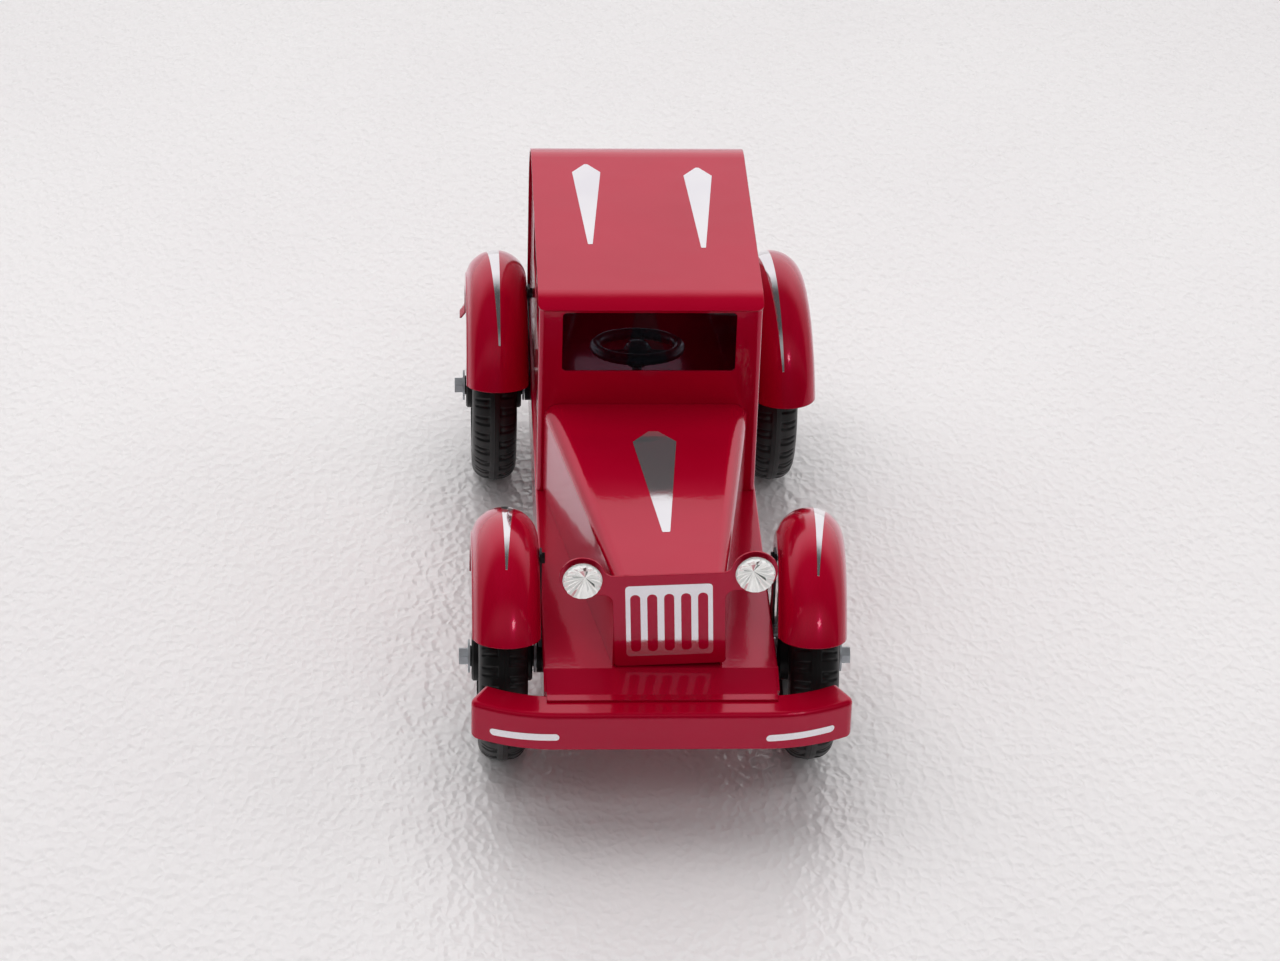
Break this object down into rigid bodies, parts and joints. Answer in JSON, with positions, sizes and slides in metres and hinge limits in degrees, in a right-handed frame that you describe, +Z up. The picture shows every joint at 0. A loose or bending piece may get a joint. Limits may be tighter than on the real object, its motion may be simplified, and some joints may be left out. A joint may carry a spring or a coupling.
{
  "type": "friction tin car",
  "caption": "Toy saloon of folded sheet steel on a channel chassis, with domed fenders, rolling wheels, a turning steering wheel and a geared flywheel motor.",
  "frame": {"origin": "middle of the footprint, on the ground under the tyres", "axes": "+Z up, the front bumper faces -Y, the longest side runs along Y. Left and right in node names are as seen by someone facing the front of the car, so left is -X, which is the driver's right."},
  "size_m": [0.1946, 0.4167, 0.1901],
  "materials": {
    "body_enamel": "gloss enamel",
    "chassis_enamel": "gloss enamel",
    "tyre": "matt moulded tread",
    "rim": "moulded",
    "steel": "zinc plated",
    "dark_steel": "blackened",
    "chrome_film": "mirror film",
    "gem": "faceted, silvered back",
    "cup": "silvered",
    "clear_film": "clear film",
    "steering": "moulded",
    "gear": "cut brass",
    "flywheel": "turned",
    "bush": "moulded"
  },
  "bodies": {
    "body": {"chassis_frame": "chassis_enamel", "bumper": "body_enamel", "bumper_brackets": "chassis_enamel", "bonnet": "body_enamel", "grille_plate": "body_enamel", "windscreen_panel": "body_enamel", "cab_side_left": "body_enamel", "cab_side_right": "body_enamel", "roof_and_back": "body_enamel", "front_left_fender": "body_enamel", "front_right_fender": "body_enamel", "rear_left_fender": "body_enamel", "rear_right_fender": "body_enamel", "fender_brackets": "dark_steel", "fender_bolts": "steel", "fender_nuts": "dark_steel", "bracket_screws": "steel", "headlamp_cups": "cup", "headlamp_gems": "gem", "grille_sticker": "chrome_film", "bonnet_sticker": "chrome_film", "roof_stickers": "chrome_film", "bumper_stickers": "chrome_film", "fender_stickers": "chrome_film", "windscreen_film": "clear_film", "steering_boss": "bush", "front_axle_bushes": "bush", "rear_axle_bushes": "bush", "motor_plate_left": "steel", "motor_plate_right": "steel", "motor_spacers": "steel", "motor_screws": "steel"},
    "front_wheels": {"front_left_tyre": "tyre", "front_right_tyre": "tyre", "front_left_rim": "rim", "front_right_rim": "rim", "front_axle": "steel", "front_axle_bolts": "steel", "front_wheel_washers": "steel"},
    "rear_wheels": {"rear_left_tyre": "tyre", "rear_right_tyre": "tyre", "rear_left_rim": "rim", "rear_right_rim": "rim", "rear_axle": "steel", "rear_axle_bolts": "steel", "rear_wheel_washers": "steel", "drive_gear": "gear"},
    "intermediate": {"intermediate_gear": "gear", "intermediate_shaft": "steel"},
    "flywheel": {"flywheel": "flywheel", "flywheel_pinion": "gear", "flywheel_shaft": "steel"},
    "steering": {"steering_wheel": "steering", "steering_column": "steel"}
  },
  "joints": [
    {"name": "front_wheels_spin", "type": "hinge", "parent": "body", "child": "front_wheels", "pos_m": [0, -0.1285, 0.052], "axis": [1, 0, 0], "continuous": true},
    {"name": "rear_wheels_spin", "type": "hinge", "parent": "body", "child": "rear_wheels", "pos_m": [0, 0.1345, 0.052], "axis": [1, 0, 0], "continuous": true},
    {"name": "intermediate_spin", "type": "hinge", "parent": "body", "child": "intermediate", "pos_m": [0, 0.1105, 0.052], "axis": [1, 0, 0], "continuous": true},
    {"name": "flywheel_spin", "type": "hinge", "parent": "body", "child": "flywheel", "pos_m": [0, 0.0895, 0.052], "axis": [1, 0, 0], "continuous": true},
    {"name": "steering_turn", "type": "hinge", "parent": "body", "child": "steering", "pos_m": [-0.005, 0.0105, 0.1487], "axis": [0, 0.2079, 0.9781], "continuous": true}
  ],
  "couplings": [
    {"joint": "intermediate_spin", "follows": "rear_wheels_spin", "ratio": -3},
    {"joint": "flywheel_spin", "follows": "rear_wheels_spin", "ratio": 7.5}
  ]
}
